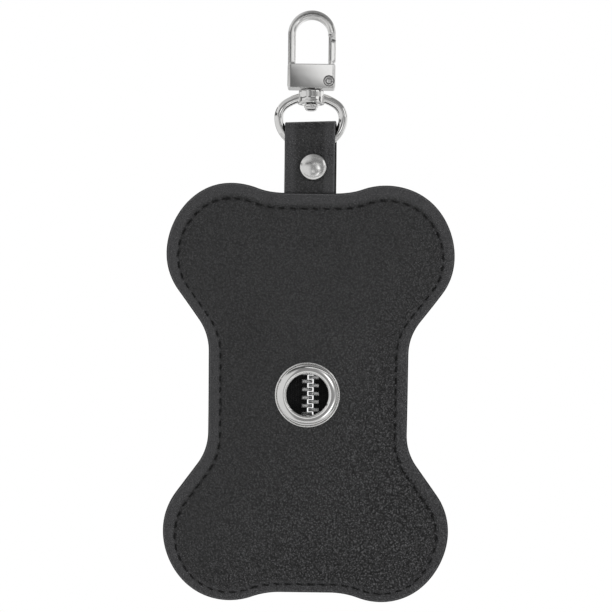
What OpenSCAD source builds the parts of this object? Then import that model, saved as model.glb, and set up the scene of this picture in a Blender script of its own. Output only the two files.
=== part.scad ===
// Bone-shaped leather pouch for a roll of dog waste bags, hung from a swivel snap hook.
// It hangs as it does in use: Z is up and the front looks along -Y. The origin is the
// centre of the snap hook's round bow. Every length is in millimetres.

/* [Pouch] */
// Width across the lobes of the bone
pouch_w = 94.2; // [90:0.2:100]
// Height over the lobes of the bone
pouch_h = 136.6; // [126:0.2:150]
// Width at the waist
waist_w = 65.3; // [60:0.1:69]
// Length of the waist's straight side
waist_flat = 26.6; // [16:0.2:30]
// Roundness of the waist's corners, as a share of the largest radius that fits there
waist_round = 0.79; // [0.5:0.01:0.95]
// Radius of each lobe
lobe_r = 22.2; // [21:0.1:24]
// Depth of the dip between two lobes
dip = 2.9; // [1.5:0.1:4]
// Radius that leads from the lobe into the dip
dip_r = 27.6; // [20:0.1:34]
// Thickness of the leather of each panel
leather_t = 1.2; // [0.8:0.1:1.6]
// Width of the flat sewn rim
rim_w = 5.5; // [5:0.1:7]
// Rise of the front panel inside its sewn rim
front_rise = 2.2; // [1.8:0.1:6]
// Rise of the back panel inside its sewn rim, to make room for the zip
back_rise = 4.6; // [3.9:0.1:7]

/* [Sewing] */
// Distance of the seam from the pouch's edge
stitch_inset = 3.9; // [2.6:0.1:4]
// Distance by which the whole seam is sewn too low
stitch_drop = 1.2; // [0:0.1:1.2]
// Length from one stitch to the next
stitch_pitch = 3.7; // [3:0.1:5]
// Length of thread that shows in one stitch
stitch_len = 2.5; // [1.5:0.1:2.8]
// Diameter of the sewing thread
thread_d = 0.5; // [0.3:0.05:0.7]

/* [Eyelet] */
// Bore that a bag is pulled out through
eyelet_bore = 13.6; // [10:0.1:15]
// Outer diameter of the eyelet's front flange
eyelet_d = 21.2; // [20:0.1:24]
// Distance of the eyelet below the pouch's middle
eyelet_drop = 0.45; // [0:0.05:3]
// Thickness of the eyelet's sheet metal
eyelet_sheet = 0.4; // [0.3:0.05:0.5]
// Height of the rolled flange above the leather
eyelet_rise = 1.1; // [0.8:0.1:1.6]

/* [Zip] */
// Flat leather left beside the zip's tapes
tape_edge = 0.15; // [0.1:0.05:2]
// Flat leather left past each end of the zip's tapes
tape_room = 1.9; // [0.5:0.1:8]
// Length of tape hidden behind the leather past each end of the window
tape_hem = 6.5; // [5:0.5:9]
// Width of the window cut in the back panel
window_w = 12; // [11:0.1:14]
// Distance of the zip's centre line to the right of the middle
zip_x = 1; // [0:0.1:1.5]
// Width of one zip tape
tape_w = 13.5; // [12:0.1:14]
// Thickness of the zip tape
tape_t = 0.6; // [0.4:0.05:0.8]
// Width of the closed row of teeth
chain_w = 6.1; // [5:0.1:6.4]
// Thickness of the teeth
tooth_t = 2.4; // [2:0.1:2.6]
// Distance from tooth to tooth on one tape
tooth_pitch = 2.7; // [2.5:0.05:3]
// Height of one tooth
tooth_h = 1.18; // [1:0.02:1.2]
// Length of the slider
slider_l = 9.6; // [8:0.1:11]
// Length of the slider's pull
pull_l = 24; // [16:0.5:30]
// Width of the slider's pull
pull_w = 5.6; // [5:0.1:7]

/* [Strap] */
// Width of the folded leather strap
strap_w = 17; // [15:0.1:17.4]
// Thickness of the strap's leather
strap_t = 1.1; // [0.8:0.1:1.3]
// Inner radius of the fold that hangs on the ring
fold_r = 2.6; // [2.2:0.1:3]
// Depth of the strap's two ends in the pouch's seam
strap_tail = 9; // [7:0.1:11]
// Diameter of the rivet's caps
rivet_d = 8.8; // [7:0.1:10]
// Height of each rivet cap
rivet_rise = 2; // [1.5:0.1:2.5]
// Diameter of the rivet's post
rivet_post = 3; // [2.4:0.1:3.6]
// Distance of the rivet to the right of the strap's middle
rivet_x = 0.9; // [-1:0.1:1]

/* [Ring] */
// Diameter of the ring's wire
wire_d = 3; // [2.6:0.05:3.2]
// Outer width of the ring
ring_w = 24.1; // [23.6:0.1:26]
// Height of the ring's outer edge above its widest place
ring_top = 8.45; // [8:0.05:9]
// Centre line radius of the ring's upper corners
ring_corner = 5.5; // [5:0.1:6]
// Centre line radius of the ring's lower corners
ring_belly = 8.7; // [8.4:0.1:9]
// Diameter of the collar that the stud passes through
collar_d = 8.9; // [8:0.1:10]
// Height of the collar
collar_h = 4.7; // [4:0.1:5.4]
// Diameter of the swivel stud's shank
stud_d = 3.4; // [3:0.1:3.8]
// Diameter of the swivel stud's head
stud_head = 4.7; // [4.4:0.1:5.4]

/* [Snap hook] */
// Inner radius of the bow
bow_r = 5.3; // [4.8:0.1:5.6]
// Thickness of the bow seen from the front
bow_t = 2.5; // [2.2:0.1:2.8]
// Depth of the bow from front to back
bow_d = 4.2; // [3.6:0.1:4.8]
// Distance from the bow's centre down to the block
bow_drop = 9.95; // [9:0.05:12]
// Height of the block under the bow
block_h = 7.8; // [7.5:0.05:9]
// Depth of the block from front to back
block_d = 6; // [5.4:0.1:7]
// Depth of the gate from front to back
gate_d = 3.4; // [2.8:0.1:3.6]
// Diameter of the gate's pin
pin_d = 1.8; // [1.4:0.05:1.9]
// Outer diameter of the gate's spring
spring_d = 2.5; // [2:0.1:2.6]

/* [Hidden] */
$fn = 64;

// Clearances
seat_gap = 0.03;   // between pieces that are pressed or sewn together
turn_gap = 0.05;   // on the radius, between a pin or stud and what turns on it
fold_gap = 0.15;   // between the strap's fold and the ring that it hangs on
thread_gap = 0.06; // between a stitch and the leather under it
slide_gap = 0.15;  // between the slider and the chain that it runs on
press_gap = 0.01;  // on the radius, between a pressed pin and its hole

// Heights down the object, each worked out from the piece above it
collar_gap = 0.3;  // from the block down to the collar
ring_lift = 0.2;   // of the wire's centre above the collar's middle
stud_depth = 3;    // of the stud in the block
close_drop = 1.6;  // from the ring down to where the strap's two layers meet
bend_room = 4.3;   // of bare strap between the rivet and the pouch
block_top = -bow_drop;
block_bottom = block_top - block_h;
collar_top = block_bottom - collar_gap;
collar_bottom = collar_top - collar_h;
ring_z = collar_top - collar_h / 2 - (ring_top - wire_d / 2) + ring_lift;
stud_top = block_bottom + stud_depth;

// The ring's centre line is four corner arcs, a top arc and a straight bottom bar
wire_r = wire_d / 2;
top_h = ring_top - wire_r;
corner_x = ring_w / 2 - wire_r - ring_corner;
belly_x = ring_w / 2 - wire_r - ring_belly;
top_less = top_h - ring_corner;
top_drop = (corner_x * corner_x - top_less * top_less) / (2 * top_less);
top_r = top_h + top_drop;
corner_a = atan2(top_drop, corner_x);

// The strap rests with its two edges on the ring's lower flanks
flank_r = ring_belly - wire_r;
flank_z = ring_z - flank_r * sin(acos((strap_w / 2 - belly_x) / flank_r));
fold_z = flank_z + fold_gap - fold_r;
ring_bottom = ring_z - ring_belly - wire_r;
close_z = ring_bottom - close_drop;
bend_l = 3.6; // height in which each layer of the strap turns inwards
rivet_z = close_z - rivet_d / 2;
valley_z = close_z - rivet_d - bend_room;
dip_z = pouch_h / 2 - dip;
pouch_z = valley_z - dip_z;
eyelet_z = pouch_z - eyelet_drop;
tail_z = valley_z - strap_tail;

// The slope of each panel runs from the rim to the flat middle that the eyelet or the zip's
// tapes need
eyelet_edge = 0.55; // flat leather left beside the eyelet
tape_gap = 1;       // half the gap between the two tapes
front_slope = waist_w / 2 - rim_w - (eyelet_d / 2 + eyelet_edge);
back_slope = waist_w / 2 - rim_w - (zip_x + tape_gap + tape_w + tape_edge);

// Faces of the panels, measured from the middle plane of the pouch
front_in = seat_gap + front_rise;
front_out = front_in + leather_t;
back_in = seat_gap + back_rise;
back_out = back_in + leather_t;
tape_mid = back_in - seat_gap - tape_t / 2;
tape_l = 2 * (dip_z - rim_w - back_slope - tape_room);
window_l = tape_l - 2 * tape_hem;
stitch_out = thread_d / 2 + thread_gap;

// Zip, measured up and down from the pouch's centre
stop_h = 2;
stop_gap = 0.2;
slider_top = window_l / 2 - stop_h - stop_gap - 1;
slider_mid = slider_top - slider_l / 2;
chain_bottom = -window_l / 2 + 3.8;
teeth_n = floor((slider_mid - chain_bottom) / tooth_pitch);
plate_t = 0.8;
plate_in = tooth_t / 2 + slide_gap;
plate_out = plate_in + plate_t;
slider_w = chain_w + 2 * slide_gap + 1.8;
pull_axis_y = tape_mid + plate_out + 1.15;
pull_rod_d = 1.3;
bridge_w = 2.2;

// Snap hook
edge_r = 0.6;      // round edges of the bow and the gate
recess_h = 0.4;    // depth of the round recess at each end of the gate's pin
recess_r = pin_d / 2 + 0.76;
spring_gap = 0.12;
bow_mid = bow_r + bow_t / 2;
bow_out = bow_r + bow_t;
block_w = 2 * bow_out + 0.1;
gate_in = bow_r + 0.15;
gate_out = bow_out + 0.05;
pin_x = gate_in + 0.2;
pin_z = block_bottom + 2.3;
tail_r = pin_d / 2 + 0.55;
slot_left = 2.2;
slot_right = block_w / 2 - 0.6;
slot_floor = pin_z - tail_r - 0.15;
slot_d = gate_d + 0.4;
spring_z = (block_top + pin_z) / 2 - 0.1;
spring_seat = -2.3;
nose_w = 0.95;
tip_h = 2.1;

// Bone outline of the pouch: one quarter, from the waist up to the middle of the dip.
// Each row is a point and the outline's outward direction there.
function unit(a) = [cos(a), sin(a)];
function line_rows(p, q, out, n) =
    [for (i = [0:n - 1]) let (s = p + (q - p) * i / n) [s.x, s.y, out.x, out.y]];
function arc_rows(c, r, a0, a1, n, out) =
    [for (i = [0:n - 1]) let (u = unit(a0 + (a1 - a0) * i / n), s = c + r * u)
        [s.x, s.y, out * u.x, out * u.y]];

lobe_c = [pouch_w / 2 - lobe_r, pouch_h / 2 - lobe_r];
waist_to_lobe = lobe_c - [waist_w / 2, waist_flat / 2];
waist_r = waist_round * (waist_to_lobe * waist_to_lobe - lobe_r * lobe_r)
    / (2 * (waist_to_lobe.x + lobe_r));
waist_c = [waist_w / 2 + waist_r, waist_flat / 2];
to_lobe = lobe_c - waist_c;
flank_a = atan2(to_lobe.y, to_lobe.x) + acos((waist_r + lobe_r) / norm(to_lobe));
dip_up = pouch_h / 2 - dip + dip_r - lobe_c.y;
dip_c = [lobe_c.x - sqrt(pow(lobe_r + dip_r, 2) - dip_up * dip_up), lobe_c.y + dip_up];
dip_a = atan2(dip_up, dip_c.x - lobe_c.x);

quarter = concat(
    line_rows([waist_w / 2, 0], [waist_w / 2, waist_flat / 2], [1, 0], 3),
    arc_rows(waist_c, waist_r, 180, flank_a, 5, -1),
    line_rows(waist_c + waist_r * unit(flank_a), lobe_c - lobe_r * unit(flank_a),
              -unit(flank_a), 2),
    arc_rows(lobe_c, lobe_r, flank_a - 180, dip_a, 18, 1),
    arc_rows(dip_c, dip_r, dip_a - 180, -90, 5, -1),
    line_rows([dip_c.x, dip_z], [0, dip_z], [0, 1], 3)
);

function flipped(rows, sx, sz) = [for (r = rows) [sx * r[0], sz * r[1], sx * r[2], sz * r[3]]];
function reversed(rows) = [for (i = [len(rows) - 1:-1:0]) rows[i]];
function rest_of(rows) = [for (i = [1:len(rows) - 1]) rows[i]];

outline = concat(
    quarter, [[0, dip_z, 0, 1]], flipped(reversed(quarter), -1, 1),
    flipped(rest_of(quarter), -1, -1), [[0, -dip_z, 0, -1]],
    flipped(reversed(rest_of(quarter)), 1, -1)
);
outline_n = len(outline);
function inset(d) = [for (r = outline) [r[0] - d * r[2], r[1] - d * r[3]]];

// Room between a panel and the middle plane: none at the rim, full in the middle, and at
// the top as much as the strap's leather takes up between the panels
hump_half = strap_w / 2 + 1.6;
hump_fall = 5;
slope_steps = 5;
function smooth(t) = let (c = min(1, max(0, t))) c * c * (3 - 2 * c);
function hump(x, z) =
    z < 0 ? 0 : (strap_t + seat_gap) * (1 - smooth((abs(x) - hump_half) / hump_fall));
function room(x, z, d, rise, slope) =
    seat_gap + max(rise * smooth((d - rim_w) / slope), hump(x, z));

function panel_insets(slope) =
    concat([0, stitch_inset, rim_w], [for (k = [1:slope_steps]) rim_w + slope * k / slope_steps]);

// The flat middle is a fan of triangles round a hub in each half of the bone
hub_z = lobe_c.y - 16;
function panel_points(out, rise, slope) = concat(
    [for (d = panel_insets(slope)) for (p = inset(d))
        [p.x, -room(p.x, p.y, d, rise, slope) - out, p.y + pouch_z]],
    [for (s = [1, -1]) [0, -seat_gap - rise - out, s * hub_z + pouch_z]]);

// One panel's shell, for the front: outer face, inner face and cut edge
module panel_shell(rise, slope) {
    rings = len(panel_insets(slope));
    inner = rings * outline_n + 2;
    outer_faces = [for (k = [0:rings - 2]) for (i = [0:outline_n - 1])
        let (a = k * outline_n + i, b = k * outline_n + (i + 1) % outline_n)
            each [[a, a + outline_n, b + outline_n], [a, b + outline_n, b]]];
    inner_faces = [for (f = outer_faces) [f[0] + inner, f[2] + inner, f[1] + inner]];
    edge_faces = [for (i = [0:outline_n - 1]) let (b = (i + 1) % outline_n)
        each [[i, b, b + inner], [i, b + inner, i + inner]]];
    last = (rings - 1) * outline_n;
    hub = rings * outline_n;
    half = outline_n / 2;
    outer_cap = concat(
        [for (i = [0:outline_n - 1])
            [hub + (i < half ? 0 : 1), last + (i + 1) % outline_n, last + i]],
        [[hub, last, hub + 1], [hub, hub + 1, last + half]]);
    inner_cap = [for (f = outer_cap) [f[0] + inner, f[2] + inner, f[1] + inner]];
    polyhedron(concat(panel_points(leather_t, rise, slope), panel_points(0, rise, slope)),
               concat(outer_faces, outer_cap, inner_faces, inner_cap, edge_faces));
}

// A round bar between two points
module rod(p, q, r) {
    v = q - p;
    translate(p)
        rotate([0, acos(v.z / norm(v)), atan2(v.y, v.x)])
            cylinder(h = norm(v), r = r, $fn = 16);
}

// A rectangle with round corners, centred
module round_rect(w, h, r) {
    square([w - 2 * r, h], center = true);
    square([w, h - 2 * r], center = true);
    for (sx = [-1, 1], sz = [-1, 1])
        translate([sx * (w / 2 - r), sz * (h / 2 - r)])
            circle(r);
}

// A shape drawn as seen from the front, made thick from front to back about y = 0
module upright(t) {
    rotate([90, 0, 0])
        linear_extrude(height = t, center = true)
            children();
}

// A round hole or pin along Y, between two depths
module cross_bore(x, z, r, y0, y1) {
    translate([x, y0, z])
        rotate([-90, 0, 0])
            cylinder(h = y1 - y0, r = r);
}

// Leather panel with the bag outlet's hole
module front_panel() {
    color([0.16, 0.16, 0.17])
        difference() {
            panel_shell(front_rise, front_slope);
            cross_bore(0, eyelet_z, eyelet_bore / 2 + eyelet_sheet + seat_gap,
                       -front_out - 1, 0);
        }
}

// Leather panel with the zip's window, a slot with round ends
module back_panel() {
    end_z = window_l / 2 - window_w / 2;
    color([0.16, 0.16, 0.17])
        difference() {
            mirror([0, 1, 0])
                panel_shell(back_rise, back_slope);
            translate([zip_x - window_w / 2, 0, pouch_z - end_z])
                cube([window_w, back_out + 1, 2 * end_z]);
            for (s = [-1, 1])
                cross_bore(zip_x, pouch_z + s * end_z, window_w / 2, 0, back_out + 1);
        }
}

// Seam that closes the pouch: one row of stitches on each side, along the stitch line
stitch_line = [for (p = inset(stitch_inset)) p - [0, stitch_drop]];
line_s = [for (i = 0, s = 0; i <= outline_n;
               s = s + norm(stitch_line[(i + 1) % outline_n] - stitch_line[i % outline_n]),
               i = i + 1) s];
line_x = [for (i = [0:outline_n]) [line_s[i], stitch_line[i % outline_n].x]];
line_z = [for (i = [0:outline_n]) [line_s[i], stitch_line[i % outline_n].y]];
line_y = [for (i = [0:outline_n]) let (p = stitch_line[i % outline_n])
    [line_s[i], seat_gap + hump(p.x, p.y)]];
stitch_n = floor(line_s[outline_n] / stitch_pitch);
stitch_step = line_s[outline_n] / stitch_n;
function seam_point(s) =
    [lookup(s, line_x), -lookup(s, line_y) - leather_t - stitch_out,
     lookup(s, line_z) + pouch_z];

module stitch_row() {
    for (k = [0:stitch_n - 1]) {
        middle = (k + 0.5) * stitch_step;
        rod(seam_point(middle - stitch_len / 2), seam_point(middle + stitch_len / 2),
            thread_d / 2);
    }
}

module perimeter_stitching() {
    color([0.05, 0.05, 0.05]) {
        stitch_row();
        mirror([0, 1, 0])
            stitch_row();
    }
}

// Eyelet: a barrel with a broad rolled flange in front, its inner end curled over the
// washer. One closed profile: the curl, the barrel's outside, the flange and its crown.
washer_t = 0.5;
curl_r = 0.45;
flange_step = 0.5;
module eyelet() {
    bore = eyelet_bore / 2;
    flange = eyelet_d / 2;
    face = front_out + seat_gap;
    curl_y = front_in - washer_t - 2 * seat_gap;
    crown_r = (flange - flange_step - bore) / 2;
    curl = [for (a = [180:20:360]) [bore + curl_r + curl_r * cos(a), curl_y + curl_r * sin(a)]];
    crown = [for (a = [0:12:180])
        [bore + crown_r + crown_r * cos(a), face + 0.3 + (eyelet_rise - 0.3) * sin(a)]];
    color([0.82, 0.82, 0.84])
        translate([0, 0, eyelet_z])
            rotate([90, 0, 0])
                rotate_extrude()
                    polygon(concat(curl,
                        [[bore + eyelet_sheet, curl_y], [bore + eyelet_sheet, face],
                         [flange, face], [flange, face + 0.3]],
                        crown));
}

// Washer behind the front panel, held by the eyelet's curled end
module eyelet_washer() {
    color([0.75, 0.75, 0.77])
        translate([0, -front_in + seat_gap + washer_t, eyelet_z])
            rotate([90, 0, 0])
                difference() {
                    cylinder(h = washer_t, r = eyelet_d / 2 - 1);
                    translate([0, 0, -1])
                        cylinder(h = 3, r = eyelet_bore / 2 + eyelet_sheet + seat_gap);
                }
}

// One zip tape, sewn behind the window: side is -1 for the left and 1 for the right
module zip_tape(side) {
    x0 = side > 0 ? zip_x + tape_gap : zip_x - tape_gap - tape_w;
    color([0.07, 0.07, 0.08])
        translate([x0, tape_mid - tape_t / 2, pouch_z - tape_l / 2])
            cube([tape_w, tape_t, tape_l]);
}

// Zip clamp seen from its end: a head on the centre line and two legs that grip the tape
module clamp_section(reach, legs, t) {
    slot = tape_t / 2 + seat_gap;
    difference() {
        translate([-reach, -t / 2])
            square([reach + legs, t]);
        translate([tape_gap - seat_gap, -slot])
            square([legs, 2 * slot]);
    }
}

module tooth(side, z) {
    translate([zip_x, tape_mid, pouch_z + z])
        mirror([side > 0 ? 0 : 1, 0, 0])
            linear_extrude(height = tooth_h)
                clamp_section(tape_gap - 0.08, chain_w / 2, tooth_t);
}

module zip_teeth(side) {
    first = chain_bottom + (side > 0 ? 0 : tooth_pitch / 2);
    color([0.8, 0.8, 0.82])
        for (k = [0:teeth_n - 1])
            tooth(side, first + k * tooth_pitch);
}

// Two stops that end the slider's way at the top, one on each tape
module zip_top_stops() {
    color([0.8, 0.8, 0.82])
        for (side = [-1, 1])
            translate([zip_x, tape_mid, pouch_z + slider_top + stop_gap])
                mirror([side > 0 ? 0 : 1, 0, 0])
                    linear_extrude(height = stop_h)
                        clamp_section(-0.3, chain_w / 2 + 0.2, tooth_t);
}

// Bottom stop, one clamp over both tapes
module zip_bottom_stop() {
    color([0.8, 0.8, 0.82])
        translate([zip_x, tape_mid, pouch_z + chain_bottom - 2.9])
            linear_extrude(height = 2.6)
                difference() {
                    square([chain_w + 0.4, tooth_t], center = true);
                    for (side = [-1, 1])
                        translate([side * (tape_gap - seat_gap + chain_w / 2), 0])
                            square([chain_w, tape_t + 2 * seat_gap], center = true);
                }
}

// Two rows of stitches along the window and one across each end
module zip_stitching() {
    seam_x = window_w / 2 + 2.2;
    seam_z = window_l / 2 + 2.2;
    y = back_out + stitch_out;
    rows_n = floor(2 * seam_z / stitch_pitch);
    ends_n = floor(2 * seam_x / stitch_pitch);
    color([0.05, 0.05, 0.05])
        translate([zip_x, y, pouch_z]) {
            for (side = [-1, 1], k = [0:rows_n - 1]) {
                z = (k - (rows_n - 1) / 2) * stitch_pitch;
                rod([side * seam_x, 0, z - stitch_len / 2],
                    [side * seam_x, 0, z + stitch_len / 2], thread_d / 2);
            }
            for (side = [-1, 1], k = [0:ends_n - 1]) {
                x = (k - (ends_n - 1) / 2) * stitch_pitch;
                rod([x - stitch_len / 2, 0, side * seam_z],
                    [x + stitch_len / 2, 0, side * seam_z], thread_d / 2);
            }
        }
}

// Slider: two plates joined by a wedge at the top, flanges that hold the teeth in, and an
// arched bridge on the outside for the pull
module zip_slider() {
    lip = tape_t / 2 + slide_gap;
    bridge_l = 6.6;
    bridge_y = plate_out - 0.2;
    bridge_h = pull_axis_y - tape_mid + pull_rod_d / 2 + 0.75 - bridge_y;
    color([0.72, 0.72, 0.74])
        translate([zip_x, tape_mid, pouch_z + slider_mid]) {
            for (s = [-1, 1]) {
                translate([0, s * (plate_in + plate_t / 2), 0])
                    upright(plate_t)
                        round_rect(slider_w, slider_l, 1.6);
                for (e = [-1, 1])
                    translate([e * (slider_w / 2 - 0.45), s * (lip + plate_out - 0.4) / 2, 0])
                        cube([0.9, plate_out - 0.4 - lip, slider_l - 3.2], center = true);
            }
            translate([0, 0, slider_l / 2 - 1.3])
                rotate([90, 0, 0])
                    linear_extrude(height = 2 * plate_in + 0.4, center = true)
                        polygon([[-0.9, 1.2], [0.9, 1.2], [0.5, -1.6], [-0.5, -1.6]]);
            difference() {
                translate([-bridge_w / 2, bridge_y, -bridge_l / 2])
                    cube([bridge_w, bridge_h, bridge_l]);
                translate([-bridge_w, pull_axis_y - tape_mid, 0])
                    rotate([0, 90, 0])
                        cylinder(h = 2 * bridge_w, r = pull_rod_d / 2 + 0.25);
            }
        }
}

// Pull: a rod under the slider's bridge, two arms and a flat tab with a small hole
module zip_pull() {
    arm_w = (pull_w - bridge_w) / 2 - 0.4;
    tab_t = 1.2;
    reach = 4.6;
    color([0.75, 0.75, 0.77])
        translate([zip_x, pull_axis_y, pouch_z + slider_mid]) {
            translate([-pull_w / 2, 0, 0])
                rotate([0, 90, 0])
                    cylinder(h = pull_w, r = pull_rod_d / 2);
            for (side = [-1, 1])
                translate([side * (pull_w - arm_w) / 2, 0, -reach / 2 - 0.2])
                    cube([arm_w, tab_t, reach + 0.4], center = true);
            translate([0, 0, -(reach + pull_l) / 2])
                upright(tab_t)
                    difference() {
                        round_rect(pull_w, pull_l - reach, 1.4);
                        translate([0, -(pull_l - reach) / 2 + 3])
                            circle(1.4);
                    }
        }
}

// Strap seen from its edge: the fold over the ring, the closing bend on each side and the
// two ends that go down into the pouch's seam. The list is one side's inner face from the
// top down, each row a point and the direction out of the loop.
bend_shift = fold_r - seat_gap;
bend_a = 2 * atan(bend_shift / bend_l);
bend_r = bend_l / (2 * sin(bend_a));
bend_z = close_z + bend_l;
strap_side = concat(
    arc_rows([0, fold_z], fold_r, 90, 0, 10, 1),
    arc_rows([fold_r - bend_r, bend_z], bend_r, 0, -bend_a, 6, 1),
    arc_rows([seat_gap + bend_r, close_z], bend_r, 180 - bend_a, 180, 6, -1),
    [[seat_gap, close_z, 1, 0], [seat_gap, tail_z, 1, 0]]
);
function strap_face(out, side) =
    [for (r = strap_side) [side * (r[0] + out * r[2]), r[1] + out * r[3]]];

module tab_strap() {
    color([0.16, 0.16, 0.17])
        difference() {
            rotate([90, 0, 90])
                linear_extrude(height = strap_w, center = true)
                    polygon(concat(
                        strap_face(strap_t, 1), reversed(rest_of(strap_face(0, 1))),
                        strap_face(0, -1), reversed(rest_of(strap_face(strap_t, -1)))
                    ));
            cross_bore(rivet_x, rivet_z, rivet_post / 2 + seat_gap, -5, 5);
        }
}

// Domed rivet cap, standing on the strap's face
module rivet_dome() {
    base = strap_t + 2 * seat_gap;
    r = rivet_d / 2;
    dome = [for (a = [0:10:90]) [r * cos(a), base + 0.35 + (rivet_rise - 0.35) * sin(a)]];
    rotate_extrude()
        polygon(concat([[0, base], [r - 0.25, base]], dome));
}

// Front cap with the post that passes through both layers
module rivet_cap() {
    color([0.82, 0.82, 0.84])
        translate([rivet_x, 0, rivet_z])
            rotate([90, 0, 0]) {
                rivet_dome();
                translate([0, 0, -strap_t - seat_gap])
                    cylinder(h = 2 * strap_t + 4 * seat_gap, r = rivet_post / 2);
            }
}

// Back cap, pressed on the post
module rivet_socket() {
    color([0.82, 0.82, 0.84])
        translate([rivet_x, 0, rivet_z])
            rotate([-90, 0, 0])
                rivet_dome();
}

// The ring's wire, swept round its closed centre line with a round section
wire_rows = concat(
    arc_rows([belly_x, 0], ring_belly, -90, 0, 9, 1),
    arc_rows([corner_x, 0], ring_corner, 0, corner_a, 5, 1),
    arc_rows([0, -top_drop], top_r, corner_a, 180 - corner_a, 8, 1),
    arc_rows([-corner_x, 0], ring_corner, 180 - corner_a, 180, 5, 1),
    arc_rows([-belly_x, 0], ring_belly, 180, 270, 9, 1),
    [[-belly_x, -ring_belly, 0, -1]]
);
wire_sides = 16;
module ring_wire() {
    rows_n = len(wire_rows);
    points = [for (r = wire_rows) for (j = [0:wire_sides - 1])
        let (u = wire_r * unit(360 * j / wire_sides))
            [r[0] + u.x * r[2], u.y, r[1] + u.x * r[3] + ring_z]];
    faces = [for (i = [0:rows_n - 1]) for (j = [0:wire_sides - 1])
        let (a = i * wire_sides, b = (i + 1) % rows_n * wire_sides, k = (j + 1) % wire_sides)
            each [[a + j, b + j, b + k], [a + j, b + k, a + k]]];
    polyhedron(points, faces);
}

// Oval ring with a collar, one casting, that turns on the stud
module swivel_ring() {
    color([0.82, 0.82, 0.84])
        difference() {
            union() {
                ring_wire();
                translate([0, 0, collar_bottom])
                    rotate_extrude()
                        polygon([[0, 0], [collar_d / 2 - 0.5, 0], [collar_d / 2, 0.5],
                                 [collar_d / 2, collar_h - 0.4],
                                 [collar_d / 2 - 0.4, collar_h], [0, collar_h]]);
            }
            translate([0, 0, collar_bottom - collar_h / 2])
                cylinder(h = 2 * collar_h, r = stud_d / 2 + turn_gap);
        }
}

// Stud pressed into the block; its lower end is peened over to a head under the collar
module swivel_stud() {
    head_h = 2.1;
    head_z = collar_bottom - turn_gap;
    color([0.8, 0.8, 0.82]) {
        translate([0, 0, head_z - head_h / 2])
            cylinder(h = stud_top - seat_gap - head_z + head_h / 2, r = stud_d / 2);
        translate([0, 0, head_z])
            rotate([180, 0, 0])
                rotate_extrude()
                    polygon([[0, 0], [stud_head / 2, 0], [stud_head / 2, head_h * 0.55],
                             [stud_head / 2 - 0.4, head_h * 0.85],
                             [stud_head / 2 - 1, head_h], [0, head_h]]);
    }
}

// Cast frame of the snap hook: bow, left leg, tip and block with the gate's slot
module hook_frame() {
    color([0.82, 0.82, 0.84])
        difference() {
            union() {
                rotate([90, 0, 0])
                    rotate_extrude(angle = 180)
                        translate([bow_mid, 0])
                            round_rect(bow_t, bow_d, edge_r);
                translate([-bow_mid, 0, block_top - 1])
                    linear_extrude(height = -block_top + 1)
                        round_rect(bow_t, bow_d, edge_r);
                intersection() {
                    translate([bow_mid, 0, -tip_h - 1])
                        linear_extrude(height = tip_h + 1)
                            round_rect(bow_t, bow_d, edge_r);
                    upright(bow_d + 1)
                        polygon([[gate_in + nose_w + 0.15, 0.5], [bow_out + 0.5, 0.5],
                                 [bow_out + 0.5, -tip_h - 0.25], [bow_out, -tip_h],
                                 [gate_in + nose_w + 0.15, -tip_h + 0.6]]);
                }
                intersection() {
                    translate([0, 0, (block_top + block_bottom) / 2])
                        upright(block_d)
                            round_rect(block_w, block_h, 0.7);
                    translate([0, 0, block_bottom])
                        linear_extrude(height = block_h)
                            round_rect(block_w, block_d, 1);
                }
            }
            translate([slot_left, -slot_d / 2, slot_floor])
                cube([slot_right - slot_left, slot_d, block_top - slot_floor + 1]);
            cross_bore(pin_x, pin_z, pin_d / 2 + press_gap, -block_d, block_d);
            for (s = [-1, 1])
                translate([pin_x, s * block_d / 2, pin_z])
                    rotate([90, 0, 0])
                        cylinder(h = 2 * recess_h, r = recess_r, center = true);
            translate([spring_seat, 0, spring_z])
                rotate([0, 90, 0])
                    cylinder(h = slot_left - spring_seat + 0.5, r = spring_d / 2 + spring_gap);
            translate([0, 0, block_bottom - 1])
                cylinder(h = stud_top - block_bottom + 1, r = stud_d / 2 + press_gap);
        }
}

// Sprung gate: its nose locks behind the bow's tip and its tail turns on the pin
module gate() {
    nose_r = nose_w / 2;
    nose_top = -0.15;
    neck_z = block_top + 0.35;
    color([0.78, 0.78, 0.8])
        difference() {
            union() {
                intersection() {
                    translate([(gate_in + gate_out) / 2, 0, neck_z])
                        linear_extrude(height = -neck_z)
                            round_rect(gate_out - gate_in, gate_d, edge_r);
                    upright(gate_d + 1) {
                        polygon([[gate_in, nose_top - nose_r], [gate_in + nose_w, nose_top - nose_r],
                                 [gate_in + nose_w, -tip_h + 0.42], [bow_out, -tip_h - 0.18],
                                 [gate_out, -tip_h - 0.25], [gate_out, neck_z + 0.8],
                                 [slot_right - 0.15, neck_z], [gate_in, neck_z]]);
                        translate([gate_in + nose_r, nose_top - nose_r])
                            circle(nose_r);
                    }
                }
                upright(gate_d)
                    polygon([[gate_in, neck_z + 0.5], [slot_right - 0.15, neck_z + 0.5],
                             [slot_right - 0.15, pin_z + 1.2], [pin_x + tail_r, pin_z],
                             [pin_x, pin_z], [gate_in, pin_z]]);
                cross_bore(pin_x, pin_z, tail_r, -gate_d / 2, gate_d / 2);
            }
            cross_bore(pin_x, pin_z, pin_d / 2 + turn_gap, -gate_d, gate_d);
        }
}

// Riveted pin of the gate, with a low head in each recess of the block
module gate_pin() {
    head_y = block_d / 2 - 0.08;
    head_r = pin_d / 2 + 0.47;
    color([0.8, 0.8, 0.82]) {
        cross_bore(pin_x, pin_z, pin_d / 2, -head_y, head_y);
        for (s = [0, 1])
            mirror([0, s, 0])
                cross_bore(pin_x, pin_z, head_r, -head_y, recess_h - block_d / 2 - press_gap);
    }
}

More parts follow.
